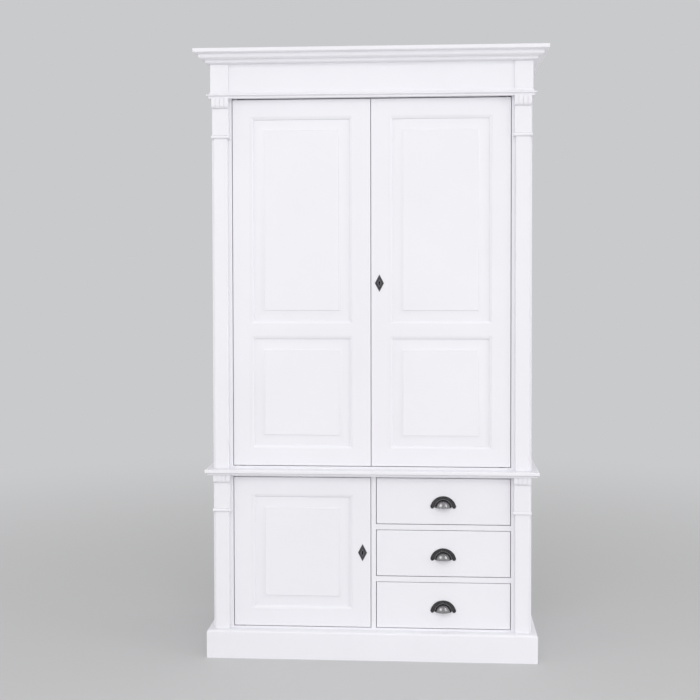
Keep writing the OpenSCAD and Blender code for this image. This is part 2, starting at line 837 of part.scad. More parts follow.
// A board in the plane of a door, from [x0, z0] to [x1, z1], whose outer edges all carry one
// moulding. edge lists [distance in from the edge, depth behind the face], back to front.
module front_board(x0, x1, z0, z1, edge) {
    n = len(edge) - 1;
    intersection() {
        translate([0, 0, z0]) linear_extrude(z1 - z0)
            polygon(concat([for (p = edge) [x0 + p[0], p[1]]],
                           [for (i = [n:-1:0]) [x1 - edge[i][0], edge[i][1]]]));
        along_x(x0, x1)
            polygon(concat([for (p = edge) [p[1], z0 + p[0]]],
                           [for (i = [n:-1:0]) [edge[i][1], z1 - edge[i][0]]]));
    }
}

eased_edge = concat([[0, front_t]], arc(arris, arris, arris, arris, 180, 270, 4));

module eased_front(x0, x1, z0, z1) front_board(x0, x1, z0, z1, eased_edge);

module door_stiles(w, h, panels) {
    difference() {
        intersection() {
            along_y(-eps, front_t) {
                stile_face(h, panels);
                translate([w, 0]) mirror([1, 0]) stile_face(h, panels);
            }
            eased_front(0, w, 0, h);
        }
        door_voids(w, panels);
        all_tenons(w, h, panels);
    }
}

module door_rails(w, h, panels) {
    difference() {
        intersection() {
            eased_front(0, w, 0, h);
            along_y(-eps, front_t) {
                for (s = rail_spans(h, panels)) {
                    a = s[0] > 0 ? stick_w : 0;
                    b = s[1] < h ? stick_w : 0;
                    polygon([
                        [dstile_w + a, s[0] - a], [dstile_w, s[0]],
                        [dstile_w, s[1]], [dstile_w + b, s[1] + b],
                        [w - dstile_w - b, s[1] + b], [w - dstile_w, s[1]],
                        [w - dstile_w, s[0]], [w - dstile_w - a, s[0] - a]]);
                }
            }
        }
        door_voids(w, panels);
    }
    all_tenons(w, h, panels);
}

// Raised panel's edge: a tongue, then the cove that rises to the field
lip = groove_d - panel_play;
panel_edge = concat(
    [[0, stick_d + tongue_t], [0, stick_d]],
    arc(lip, stick_d - raise_h, raise_w, raise_h, 90, 0, 6),
    [[lip + raise_w, stick_d - raise_h - field_step]]);

module door_panels(w, panels) {
    g = stick_w - lip;
    for (p = panels) front_board(dstile_w + g, w - dstile_w - g, p[0] + g, p[1] - g, panel_edge);
}

// Keyhole cut through wood or plate along Y: a round hole over a slot
key_r = 3;
key_up = 3;
key_slot_w = 4;
key_slot_low = 7;

module keyhole(y0, y1) {
    translate([0, y1, key_up]) rotate([90, 0, 0]) cylinder(r = key_r, h = y1 - y0);
    block([-key_slot_w / 2, y0, -key_slot_low], [key_slot_w / 2, y1, key_up]);
}

module at_left_door() place() translate([door_l, 0, udoor_z]) children();
module at_right_door() place() translate([seam_gap / 2, 0, udoor_z]) children();
module at_lower_door() place() translate([door_l, 0, ldoor_z]) children();

module left_door_stiles() color(paint) at_left_door() difference() {
    door_stiles(udoor_w, udoor_h, udoor_panels);
    bush_holes(pivot_in, udoor_h);
}
module left_door_rails() color(paint) at_left_door() door_rails(udoor_w, udoor_h, udoor_panels);
module left_door_panels() color(paint) at_left_door() door_panels(udoor_w, udoor_panels);
module left_door_bushes() color(brass) at_left_door() bushes(pivot_in, udoor_h);

module right_door_stiles() color(paint) at_right_door() difference() {
    door_stiles(udoor_w, udoor_h, udoor_panels);
    bush_holes(udoor_w - pivot_in, udoor_h);
    translate([key_in, 0, udoor_h / 2]) keyhole(-eps, front_t + eps);
}
module right_door_rails() color(paint) at_right_door() door_rails(udoor_w, udoor_h, udoor_panels);
module right_door_panels() color(paint) at_right_door() door_panels(udoor_w, udoor_panels);
module right_door_bushes() color(brass) at_right_door() bushes(udoor_w - pivot_in, udoor_h);

module lower_door_stiles() color(paint) at_lower_door() difference() {
    door_stiles(ldoor_w, ldoor_h, ldoor_panels);
    bush_holes(pivot_in, ldoor_h);
    translate([ldoor_w - key_in, 0, ldoor_h / 2]) keyhole(-eps, front_t + eps);
}
module lower_door_rails() color(paint) at_lower_door() door_rails(ldoor_w, ldoor_h, ldoor_panels);
module lower_door_panel() color(paint) at_lower_door() door_panels(ldoor_w, ldoor_panels);
module lower_door_bushes() color(brass) at_lower_door() bushes(pivot_in, ldoor_h);

// Lozenge escutcheon: a thin edge, a thicker middle and a small raised lozenge round the keyhole
esc_edge_t = 0.8;
esc_edge_w = 1.6;
esc_middle_t = 1.3;

module lozenge(w, h) polygon([[-w / 2, 0], [0, -h / 2], [w / 2, 0], [0, h / 2]]);

module escutcheon(x, z) place() translate([x, 0, z]) difference() {
    union() {
        inner = 1 - 2 * esc_edge_w / esc_w;
        along_y(-esc_edge_t, 0) lozenge(esc_w, esc_h);
        along_y(-esc_middle_t, 0) lozenge(esc_w * inner, esc_h * inner);
        along_y(-esc_t, 0) lozenge(esc_boss_w, esc_boss_h);
    }
    keyhole(-esc_t - eps, eps);
}

module upper_escutcheon() color(dark_metal) escutcheon(ukey_x, udoor_mid);
module lower_escutcheon() color(dark_metal) escutcheon(lkey_x, ldoor_mid);

// Box lock on the back of a door. It is drawn for a bolt that moves towards -X,
// with the case's front end at x = 0 and the keyhole's height at z = 0
case_low = 26;
bolt_len = 34;
case_wall = 2;

module lock_case(key_x) difference() {
    block([0, front_t, -case_low], [lock_w, front_t + lock_d, lock_h - case_low]);
    block([-eps, bolt_y - bolt_play, bolt_up - bolt_h / 2 - bolt_play],
          [bolt_len + bolt_play, bolt_y + bolt_t + bolt_play, bolt_up + bolt_h / 2 + bolt_play]);
    translate([key_x, 0, 0]) keyhole(front_t - eps, front_t + lock_d - case_wall);
}

module lock_bolt()
    block([0, bolt_y, bolt_up - bolt_h / 2], [bolt_len, bolt_y + bolt_t, bolt_up + bolt_h / 2]);

ucase_x = upart + case_gap;
lcase_x = door_l + ldoor_w;

module at_upper_lock() place() translate([ucase_x, 0, udoor_mid]) children();
module at_lower_lock() place() translate([lcase_x, 0, ldoor_mid]) mirror([1, 0, 0]) children();

module upper_lock_case() color(steel) at_upper_lock() lock_case(ukey_x - ucase_x);
module upper_bolt() color(brass) at_upper_lock() lock_bolt();
module lower_lock_case() color(steel) at_lower_lock() lock_case(lcase_x - lkey_x);
module lower_bolt() color(brass) at_lower_lock() lock_bolt();

// Magnetic catch for the left door, on the partition, and its plate on the door
catch_h = 40;
catch_w = 16;
catch_d = 20;
catch_drop = 60;
catch_plate_t = 2;
catch_plate_in = 2;
catch_gap = 0.4;
catch_y = front_t + catch_plate_t + catch_gap;
catch_z = upper_open_top - catch_drop - catch_h;

module door_catch() color(steel) place()
    block([-upart - catch_w, catch_y, catch_z], [-upart, catch_y + catch_d, catch_z + catch_h]);

module catch_plate() color(steel) place()
    block([-upart - catch_w - catch_plate_in, front_t, catch_z],
          [-upart - catch_plate_in, front_t + catch_plate_t, catch_z + catch_h]);

// Drawers: 1 at the top, 3 at the bottom, drawn from their opening's lower left corner
bay_w = bay_r - bay_l;
front_w = bay_w - 2 * door_gap;
front_h = drawer_open_h - 2 * door_gap;
box_w = bay_w - 2 * drawer_play;
box_y1 = back_y - drawer_rear_gap;
floor_groove = 5;
back_drop = 10;

module at_drawer(i) place() translate([bay_l, 0, drawer_z(i)]) children();

module drawer_front(i) color(paint) at_drawer(i)
    eased_front(door_gap, door_gap + front_w, door_gap, door_gap + front_h);

module in_drawer(i) at_drawer(i) translate([drawer_play, 0, run_gap]) children();

// The two sides, grooved for the bottom, and the back that stands on it
module drawer_sides(i) color(inner_paint) in_drawer(i) {
    t = drawer_side_t;
    difference() {
        union() {
            block([0, front_t, 0], [t, box_y1, drawer_side_h]);
            block([box_w - t, front_t, 0], [box_w, box_y1, drawer_side_h]);
        }
        drawer_floor();
    }
    block([t + hairline, box_y1 - t, drawer_floor_z + drawer_floor_t],
          [box_w - t - hairline, box_y1, drawer_side_h - back_drop]);
}

module drawer_floor()
    block([drawer_side_t - floor_groove, front_t, drawer_floor_z],
          [box_w - drawer_side_t + floor_groove, box_y1, drawer_floor_z + drawer_floor_t]);

module drawer_bottom(i) color(inner_paint) in_drawer(i) drawer_floor();

// Cup pull: a flat flange with two round ears, bent round the top of a hollow cup that is open
// below, with a raised ring round the cup's foot
ear_in = 0.5;
ring_h = 1.2;
ring_w = 2.4;
ring_slope = 0.6;
ring_gap = 0.8;
cup_steps = 10;

function dome(r, out) =
    [for (i = [0:cup_steps]) let (a = 90 * i / cup_steps) [r * cos(a), out * sin(a)]];

module pull_flange() {
    mid_r = pull_r - ear_w / 2 - ear_in;
    intersection() {
        difference() {
            circle(r = pull_r);
            translate([0, cup_up]) circle(r = cup_r - cup_wall);
        }
        translate([-pull_r, ear_up]) square([2 * pull_r, pull_r]);
    }
    for (side = [-1, 1])
        translate([side * sqrt(mid_r * mid_r - ear_up * ear_up), ear_up]) circle(r = ear_w / 2);
}

module pull_cup() difference() {
    inside = dome(cup_r - cup_wall, cup_out - cup_wall);
    x0 = cup_r + ring_gap;
    x1 = x0 + ring_w;
    rotate([90, 0, 0]) rotate_extrude() polygon(concat(
        [[x1, 0], [x1, flange_t], [x1 - ring_slope, flange_t + ring_h]],
        [[x0 + ring_slope, flange_t + ring_h], [x0, flange_t], [cup_r, flange_t]],
        [for (p = dome(cup_r, cup_out)) if (p[1] > flange_t) p],
        [for (i = [cup_steps:-1:0]) inside[i]]));
    block([-pull_r, -cup_out - eps, -pull_r], [pull_r, eps, lip_up]);
}

module cup_pull() {
    along_y(-flange_t, 0) pull_flange();
    translate([0, 0, cup_up]) pull_cup();
}

module drawer_pull(i) color(dark_metal) at_drawer(i)
    translate([bay_w / 2, 0, drawer_open_h / 2 - pull_drop]) cup_pull();

module drawer_1_front() drawer_front(1);
module drawer_1_sides() drawer_sides(1);
module drawer_1_bottom() drawer_bottom(1);
module drawer_1_pull() drawer_pull(1);
module drawer_2_front() drawer_front(2);
module drawer_2_sides() drawer_sides(2);
module drawer_2_bottom() drawer_bottom(2);
module drawer_2_pull() drawer_pull(2);
module drawer_3_front() drawer_front(3);
module drawer_3_sides() drawer_sides(3);
module drawer_3_bottom() drawer_bottom(3);
module drawer_3_pull() drawer_pull(3);

plinth();
base_board();
lower_sides();
lower_partition();
lower_face_frame();
drawer_rails();
drawer_runners();
waist_board();
lower_shelf();
shelf_pegs();
upper_sides();
upper_floor();
upper_partition();
upper_face_frame();
back_panels();
head_board();
upper_shelves();
hanging_rail();
rail_sockets();
frieze_boards();
frieze_blocks();
cornice();
crown_lid();
pilasters();
capitals();
pilaster_bands();
pivot_plates();
door_catch();
left_door_stiles();
left_door_rails();
left_door_panels();
left_door_bushes();
catch_plate();
right_door_stiles();
right_door_rails();
right_door_panels();
right_door_bushes();
upper_escutcheon();
upper_lock_case();
upper_bolt();
lower_door_stiles();
lower_door_rails();
lower_door_panel();
lower_door_bushes();
lower_escutcheon();
lower_lock_case();
lower_bolt();
drawer_1_front();
drawer_1_sides();
drawer_1_bottom();
drawer_1_pull();
drawer_2_front();
drawer_2_sides();
drawer_2_bottom();
drawer_2_pull();
drawer_3_front();
drawer_3_sides();
drawer_3_bottom();
drawer_3_pull();
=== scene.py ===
"""Looks of the painted country wardrobe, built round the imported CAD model.

The frame is +Z up with the front facing -Y. Blender works in metres. Places and sizes of small
things are written in mm and turned into metres where they are used.
"""
import math

import bmesh
import bpy
from mathutils import Matrix, Vector


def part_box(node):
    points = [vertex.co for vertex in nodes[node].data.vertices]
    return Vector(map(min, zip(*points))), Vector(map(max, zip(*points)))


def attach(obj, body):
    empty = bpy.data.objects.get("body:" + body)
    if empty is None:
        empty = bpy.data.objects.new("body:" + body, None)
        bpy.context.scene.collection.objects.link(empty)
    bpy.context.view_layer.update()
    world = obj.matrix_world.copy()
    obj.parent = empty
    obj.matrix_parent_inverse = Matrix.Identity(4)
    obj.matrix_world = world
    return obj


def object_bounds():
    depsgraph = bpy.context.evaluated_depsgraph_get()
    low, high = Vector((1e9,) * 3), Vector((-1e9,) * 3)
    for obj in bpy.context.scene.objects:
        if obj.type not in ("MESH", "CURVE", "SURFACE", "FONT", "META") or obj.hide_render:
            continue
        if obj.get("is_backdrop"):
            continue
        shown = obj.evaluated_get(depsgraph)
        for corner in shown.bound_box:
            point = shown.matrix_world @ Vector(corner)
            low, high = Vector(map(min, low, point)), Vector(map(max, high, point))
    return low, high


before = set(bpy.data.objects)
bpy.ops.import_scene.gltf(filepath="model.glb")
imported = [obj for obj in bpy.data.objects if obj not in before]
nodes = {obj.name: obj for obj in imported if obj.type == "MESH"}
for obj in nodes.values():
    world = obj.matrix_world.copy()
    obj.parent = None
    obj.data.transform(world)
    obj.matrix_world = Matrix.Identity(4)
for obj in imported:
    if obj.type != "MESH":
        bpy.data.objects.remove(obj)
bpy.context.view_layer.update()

MM = 0.001
FRONT_Y = -241.25  # plane of the door faces


# Camera, where the photograph was taken from

PHOTO_W = 700
FOCAL_PX = 1202.97
CENTRE_ROW_PX = 305.06
CAMERA_POS = Vector((0.1974, -4.2665, 1.3073))
YAW, TILT, ROLL = math.radians(3.804), math.radians(1.648), math.radians(-0.112)
SENSOR_MM = 36
CLIP_M = (0.05, 60)


def make_camera():
    data = bpy.data.cameras.new("camera")
    data.sensor_width = SENSOR_MM
    data.lens = FOCAL_PX / PHOTO_W * SENSOR_MM
    data.shift_y = (CENTRE_ROW_PX - PHOTO_W / 2) / PHOTO_W
    data.clip_start, data.clip_end = CLIP_M
    camera = bpy.data.objects.new("camera", data)
    bpy.context.scene.collection.objects.link(camera)
    forward = Vector((-math.sin(YAW) * math.cos(TILT), math.cos(YAW) * math.cos(TILT),
                      -math.sin(TILT)))
    level = Vector((math.cos(YAW), math.sin(YAW), 0))
    up = level.cross(forward)
    right = level * math.cos(ROLL) + up * math.sin(ROLL)
    up = right.cross(forward)
    axes = Matrix((right, up, -forward)).transposed().to_4x4()
    camera.matrix_world = Matrix.Translation(CAMERA_POS) @ axes
    bpy.context.scene.camera = camera


# Node helpers. Each makes nodes and returns the output to go on from.

def new_material(name):
    material = bpy.data.materials.new(name)
    material.use_nodes = True
    tree = material.node_tree
    tree.nodes.clear()
    out = tree.nodes.new("ShaderNodeOutputMaterial")
    shader = tree.nodes.new("ShaderNodeBsdfPrincipled")
    tree.links.new(shader.outputs["BSDF"], out.inputs["Surface"])
    return material, tree, shader


def places(tree):
    """The point's place in the frame at rest, in metres."""
    return tree.nodes.new("ShaderNodeTexCoord").outputs["Object"]


def noise(tree, scale, stretch=(1, 1, 1), detail=4, rough=0.55):
    """Noise round 0.5, finer along the axes whose stretch is larger."""
    mapping = tree.nodes.new("ShaderNodeMapping")
    mapping.inputs["Scale"].default_value = stretch
    texture = tree.nodes.new("ShaderNodeTexNoise")
    texture.inputs["Scale"].default_value = scale
    texture.inputs["Detail"].default_value = detail
    texture.inputs["Roughness"].default_value = rough
    tree.links.new(places(tree), mapping.inputs["Vector"])
    tree.links.new(mapping.outputs["Vector"], texture.inputs["Vector"])
    return texture.outputs["Fac"]


def remap(tree, value, source, target, smooth=False):
    """The value carried from the source range to the target range, and clamped to it."""
    node = tree.nodes.new("ShaderNodeMapRange")
    if smooth:
        node.interpolation_type = "SMOOTHSTEP"
    for name, number in zip(("From Min", "From Max", "To Min", "To Max"), (*source, *target)):
        node.inputs[name].default_value = number
    tree.links.new(value, node.inputs["Value"])
    return node.outputs["Result"]


def mixed(tree, factor, a, b):
    """Colour a where factor is 0 and b where it is 1. Either is a plain colour or an output."""
    node = tree.nodes.new("ShaderNodeMix")
    node.data_type = "RGBA"
    for socket, colour in ((node.inputs["A"], a), (node.inputs["B"], b)):
        if isinstance(colour, tuple):
            socket.default_value = (*colour, 1)
        else:
            tree.links.new(colour, socket)
    tree.links.new(factor, node.inputs["Factor"])
    return node.outputs["Result"]


def bump(tree, height, strength, distance, below=None):
    node = tree.nodes.new("ShaderNodeBump")
    node.inputs["Strength"].default_value = strength
    node.inputs["Distance"].default_value = distance
    tree.links.new(height, node.inputs["Height"])
    if below is not None:
        tree.links.new(below, node.inputs["Normal"])
    return node.outputs["Normal"]


def maths(tree, operation, a, b):
    """Arithmetic on two values, each an output or a number."""
    node = tree.nodes.new("ShaderNodeMath")
    node.operation = operation
    for socket, value in zip(node.inputs, (a, b)):
        if isinstance(value, (int, float)):
            socket.default_value = value
        else:
            tree.links.new(value, socket)
    return node.outputs["Value"]


def vectors(tree, operation, a, b=None):
    """Arithmetic on an output and a plain vector. LENGTH and DOT_PRODUCT give a number."""
    node = tree.nodes.new("ShaderNodeVectorMath")
    node.operation = operation
    if b is not None:
        node.inputs[1].default_value = b
    tree.links.new(a, node.inputs[0])
    return node.outputs["Value" if operation in ("LENGTH", "DOT_PRODUCT") else "Vector"]


# Keyholes, whose walls get painted shade inside where no light reaches: how far round their middle,
# and how deep, in mm

KEYHOLES = [(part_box(n)[0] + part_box(n)[1]) / 2 for n in ("upper_escutcheon", "lower_escutcheon")]
KEYHOLE_REACH = 9
KEYHOLE_END = 35
# Colour of the painted shade inside the keyholes
KEYHOLE_PAINTED_SHADE = (0.02, 0.02, 0.02)
ACROSS = (1, 0, 1)  # leaves the depth out of a place


def along_depth(tree):
    """Distance behind the plane of the door faces, in mm."""
    split = tree.nodes.new("ShaderNodeSeparateXYZ")
    tree.links.new(places(tree), split.inputs["Vector"])
    return maths(tree, "SUBTRACT", maths(tree, "MULTIPLY", split.outputs["Y"], 1 / MM), FRONT_Y)


def in_painted_keyhole_shade(tree, mouth):
    """1 inside the keyholes, deeper than mouth, where no light reaches and shade is painted, and 0
    elsewhere.
    """
    where = places(tree)
    near = None
    for centre in KEYHOLES:
        apart = vectors(tree, "MULTIPLY", vectors(tree, "SUBTRACT", where, centre), ACROSS)
        close = maths(tree, "LESS_THAN", vectors(tree, "LENGTH", apart), KEYHOLE_REACH * MM)
        near = close if near is None else maths(tree, "MAXIMUM", near, close)
    depth = along_depth(tree)
    inside = maths(tree, "MULTIPLY", maths(tree, "GREATER_THAN", depth, mouth),
                   maths(tree, "LESS_THAN", depth, KEYHOLE_END))
    return maths(tree, "MULTIPLY", near, inside)


# Paint: noise scales, what part of the noise's range counts, and how far it changes the look

GRAIN_SCALE, GRAIN_ACROSS, GRAIN_ALONG = 9, 22, 0.8
GRAIN_DEPTH = 0.3 * MM
PEEL_SCALE = 420
PEEL_STRENGTH, PEEL_DEPTH = 0.1, 0.12 * MM
SHADE_SCALE, SHADE_SPAN, SHADE_DARKER = 2.6, (0.35, 0.65), 0.982
GLOSS_SPAN, PAINT_GLOSS = (0.3, 0.7), (-0.05, 0.05)
PAINT_IOR = 1.5


def painted(name, colour, grain_axes, roughness, grain_bump, keyhole_shade_from=None):
    """Sprayed satin paint: fine orange peel over wood grain that shows faintly through it.
    Its last argument is the depth in mm from which the keyholes' walls get painted shade."""
    material, tree, shader = new_material(name)
    stretch = [GRAIN_ALONG if axis in grain_axes else GRAIN_ACROSS for axis in "xyz"]
    grain = noise(tree, GRAIN_SCALE, stretch, detail=6, rough=0.6)
    peel = noise(tree, PEEL_SCALE, detail=2)
    cloud = noise(tree, SHADE_SCALE, detail=3)
    darker = tuple(c * SHADE_DARKER for c in colour)
    coat = mixed(tree, remap(tree, cloud, SHADE_SPAN, (0, 1)), darker, colour)
    # Painted shade: the keyholes' walls turn near-black where no light reaches.
    if keyhole_shade_from is not None:
        coat = mixed(tree, in_painted_keyhole_shade(tree, keyhole_shade_from), coat, KEYHOLE_PAINTED_SHADE)
    tree.links.new(coat, shader.inputs["Base Color"])
    gloss = [roughness + change for change in PAINT_GLOSS]
    tree.links.new(remap(tree, cloud, GLOSS_SPAN, gloss), shader.inputs["Roughness"])
    normal = bump(tree, grain, grain_bump, GRAIN_DEPTH)
    normal = bump(tree, peel, PEEL_STRENGTH, PEEL_DEPTH, below=normal)
    tree.links.new(normal, shader.inputs["Normal"])
    shader.inputs["IOR"].default_value = PAINT_IOR
    return material


# Metal: as for paint, and where hands have worn it, in mm behind the door faces

CAST_SPAN, METAL_GLOSS = (0.35, 0.7), (0.08, -0.06)
CAST_FINER, CAST_STRENGTH, CAST_DEPTH = 9, 0.25, 0.1 * MM
WORN_OUT = (-9, -18)
WORN_SPAN, WORN_PART = (0.2, 0.5), (0.8, 1)
RIM_FADE = 0.4


def metal(name, colour, bright, roughness, cloud_scale, worn=None, rim=None, keyhole_shade_from=None):
    """Cast or drawn metal, cloudy in colour and polish. worn is the colour of what stands out
    far from the drawer fronts, where hands polish it. rim is where a low raised rim starts and
    ends, in mm out of the door faces, and the lighter colour painted on it as a highlight. The
    last argument is the depth in mm from which the keyholes' walls get painted shade, as in
    painted."""
    material, tree, shader = new_material(name)
    cloud = noise(tree, cloud_scale, detail=5, rough=0.65)
    skin = mixed(tree, remap(tree, cloud, CAST_SPAN, (0, 1)), colour, bright)
    if worn:
        rubbed = remap(tree, along_depth(tree), WORN_OUT, (0, 1), smooth=True)
        patchy = maths(tree, "MULTIPLY", rubbed, remap(tree, cloud, WORN_SPAN, WORN_PART))
        skin = mixed(tree, patchy, skin, worn)
    # Painted highlight: the raised rim gets a lighter colour, as if catching the light.
    if rim:
        start, end, painted_rim_highlight = rim
        out = maths(tree, "MULTIPLY", along_depth(tree), -1)
        up = remap(tree, out, (start, start + RIM_FADE), (0, 1), smooth=True)
        down = remap(tree, out, (end, end + RIM_FADE), (1, 0), smooth=True)
        skin = mixed(tree, maths(tree, "MULTIPLY", up, down), skin, painted_rim_highlight)
    # Painted shade: the keyholes' walls turn near-black where no light reaches.
    if keyhole_shade_from is not None:
        skin = mixed(tree, in_painted_keyhole_shade(tree, keyhole_shade_from), skin, KEYHOLE_PAINTED_SHADE)
    tree.links.new(skin, shader.inputs["Base Color"])
    gloss = [roughness + change for change in METAL_GLOSS]
    tree.links.new(remap(tree, cloud, GLOSS_SPAN, gloss), shader.inputs["Roughness"])
    tree.links.new(bump(tree, noise(tree, cloud_scale * CAST_FINER, detail=3), CAST_STRENGTH,
                        CAST_DEPTH), shader.inputs["Normal"])
    shader.inputs["Metallic"].default_value = 1
    return material


WHITE = (0.872, 0.866, 0.908)
INNER_WHITE = (0.83, 0.83, 0.835)
SATIN, FINE_SATIN, MATT = 0.36, 0.34, 0.62
THICK_COAT, FINE_COAT, THIN_COAT = 0.08, 0.04, 0.2  # how much grain comes through
BEHIND_FACE, IN_LOZENGE = 0.05, -1.15  # where the painted shade inside the keyholes starts

paint_upright = painted("paint_upright", WHITE, "z", SATIN, THICK_COAT, keyhole_shade_from=BEHIND_FACE)
paint_level = painted("paint_level", WHITE, "xy", SATIN, THICK_COAT)
paint_fine = painted("paint_fine", WHITE, "xy", FINE_SATIN, FINE_COAT)
inner_upright = painted("inner_upright", INNER_WHITE, "z", MATT, THIN_COAT)
inner_level = painted("inner_level", INNER_WHITE, "xy", MATT, THIN_COAT)
gunmetal = metal("gunmetal", (0.062, 0.060, 0.064), (0.120, 0.115, 0.122),
                 roughness=0.27, cloud_scale=90, worn=(0.39, 0.38, 0.39),
                 # rim: a painted highlight on the pull's raised ring
                 rim=(2.5, 3.5, (0.34, 0.33, 0.34)))
grey_iron = metal("grey_iron", (0.085, 0.083, 0.09), (0.15, 0.148, 0.16),
                  # rim: a painted highlight on the escutcheon's raised lozenge
                  roughness=0.36, cloud_scale=110, rim=(1.5, 2.2, (0.20, 0.197, 0.21)),
                  keyhole_shade_from=IN_LOZENGE)
steel = metal("steel", (0.50, 0.50, 0.51), (0.64, 0.64, 0.65),
              roughness=0.34, cloud_scale=60, keyhole_shade_from=BEHIND_FACE)
brass = metal("brass", (0.60, 0.43, 0.19), (0.74, 0.56, 0.28), roughness=0.3, cloud_scale=70)


# Finish of the CAD nodes

FINISHES = {
    paint_upright: ["lower_sides", "upper_sides", "lower_partition", "pilasters",
                    "left_door_stiles", "left_door_panels", "right_door_stiles",
                    "right_door_panels", "lower_door_stiles", "lower_door_panel"],
    paint_level: ["plinth", "base_board", "lower_face_frame", "upper_face_frame", "drawer_rails",
                  "waist_board", "head_board", "frieze_boards", "cornice", "left_door_rails",
                  "right_door_rails", "lower_door_rails", "drawer_1_front", "drawer_2_front",
                  "drawer_3_front"],
    paint_fine: ["frieze_blocks", "capitals", "pilaster_bands"],
    inner_upright: ["upper_partition", "back_panels"],
    inner_level: ["drawer_runners", "lower_shelf", "upper_floor", "upper_shelves", "crown_lid",
                  "drawer_1_sides", "drawer_2_sides", "drawer_3_sides", "drawer_1_bottom",
                  "drawer_2_bottom", "drawer_3_bottom"],
    gunmetal: ["drawer_1_pull", "drawer_2_pull", "drawer_3_pull"],
    grey_iron: ["upper_escutcheon", "lower_escutcheon"],
    steel: ["shelf_pegs", "hanging_rail", "rail_sockets", "pivot_plates", "door_catch",
            "catch_plate", "upper_lock_case", "lower_lock_case"],
    brass: ["left_door_bushes", "right_door_bushes", "lower_door_bushes", "upper_bolt",
            "lower_bolt"],
}

# How far the arrises of a node's boards are eased, in mm. The others keep their CAD edges.
EASED = {
    1.2: ["drawer_1_front", "drawer_2_front", "drawer_3_front", "lower_shelf", "upper_shelves",
          "crown_lid"],
    1.0: ["pilasters", "pilaster_bands", "frieze_blocks", "lower_sides", "upper_sides",
          "drawer_runners", "drawer_1_sides", "drawer_2_sides", "drawer_3_sides"],
    0.7: ["capitals", "left_door_panels", "right_door_panels", "lower_door_panel", "door_catch"],
    0.4: ["drawer_1_bottom", "drawer_2_bottom", "drawer_3_bottom", "back_panels", "upper_bolt",
          "lower_bolt", "shelf_pegs", "catch_plate"],
}
EASED_STEPS = 2
WELD_M = 0.01 * MM
SHARP_ANGLE = math.radians(35)
EASED_ANGLE = math.radians(40)
FLAT_ANGLE = math.radians(0.1)


def smoothing_group():
    """Geometry nodes that shade faces smooth and keep edges sharp above an angle."""
    group = bpy.data.node_groups.new("smooth_by_angle", "GeometryNodeTree")
    group.interface.new_socket("Geometry", in_out="INPUT", socket_type="NodeSocketGeometry")
    group.interface.new_socket("Geometry", in_out="OUTPUT", socket_type="NodeSocketGeometry")
    start = group.nodes.new("NodeGroupInput")
    end = group.nodes.new("NodeGroupOutput")
    faces = group.nodes.new("GeometryNodeSetShadeSmooth")
    faces.domain = "FACE"
    edges = group.nodes.new("GeometryNodeSetShadeSmooth")
    edges.domain = "EDGE"
    edges.inputs["Shade Smooth"].default_value = False
    angle = group.nodes.new("GeometryNodeInputMeshEdgeAngle")
    sharp = group.nodes.new("FunctionNodeCompare")
    sharp.operation = "GREATER_THAN"
    sharp.inputs["B"].default_value = SHARP_ANGLE
    group.links.new(start.outputs[0], faces.inputs["Geometry"])
    group.links.new(faces.outputs["Geometry"], edges.inputs["Geometry"])
    group.links.new(angle.outputs["Unsigned Angle"], sharp.inputs["A"])
    group.links.new(sharp.outputs["Result"], edges.inputs["Selection"])
    group.links.new(edges.outputs["Geometry"], end.inputs[0])
    return group


smooth_by_angle = smoothing_group()


def shade_well(piece):
    piece.modifiers.new("smooth", "NODES").node_group = smooth_by_angle
    weighted = piece.modifiers.new("weighted", "WEIGHTED_NORMAL")
    weighted.keep_sharp = True


def dress(name, material):
    """Gives a CAD node its material, eased arrises and smooth curves."""
    piece = nodes[name]
    piece.data.materials.clear()
    piece.data.materials.append(material)
    piece.modifiers.new("weld", "WELD").merge_threshold = WELD_M
    for width, eased in EASED.items():
        if name in eased:
            flat = piece.modifiers.new("flat", "DECIMATE")
            flat.decimate_type = "DISSOLVE"
            flat.angle_limit = FLAT_ANGLE
            bevel = piece.modifiers.new("bevel", "BEVEL")
            bevel.width = width * MM
            bevel.segments = EASED_STEPS
            bevel.limit_method = "ANGLE"
            bevel.angle_limit = EASED_ANGLE
    shade_well(piece)


for finish, names in FINISHES.items():
    for name in names:
        dress(name, finish)


# Heads of screws and pins, which ride on the bodies. They are shaped round +Z on z = 0, in mm,
# and sink a little into what carries them. Profiles are in parts of a head's radius and height,
# the recess in parts of its radius.

SCREW_STEPS, PIN_STEPS, PIN_RINGS = 24, 12, 4
SINK = 0.2
SCREW_PROFILE = ((1, 0.3), (0.95, 0.65), (0.86, 0.9), (0.74, 1))
BRIM_ARM, BRIM_REACH = 0.13, 0.52
FOOT_ARM, FOOT_REACH = 0.10, 0.40
RECESS_DEPTH = 0.45


def ring_of(bm, radius, z, steps):
    return [bm.verts.new((radius * math.cos(2 * math.pi * k / steps),
                          radius * math.sin(2 * math.pi * k / steps), z)) for k in range(steps)]


def bridge(bm, low, high):
    """Faces between two loops of as many points."""
    for k in range(len(low)):
        n = (k + 1) % len(low)
        bm.faces.new((low[k], low[n], high[n], high[k]))


def loop_edges(bm, loop):
    return [bm.edges.get((loop[k], loop[(k + 1) % len(loop)]))
            or bm.edges.new((loop[k], loop[(k + 1) % len(loop)])) for k in range(len(loop))]


def cross_loop(bm, a, b, z):
    """Outline of a cross recess, anticlockwise. Its arms are 2 a wide and reach to b."""
    return [bm.verts.new((x, y, z)) for x, y in (
        (b, -a), (b, a), (a, a), (a, b), (-a, b), (-a, a), (-b, a), (-b, -a), (-a, -a), (-a, -b),
        (a, -b), (a, -a))]


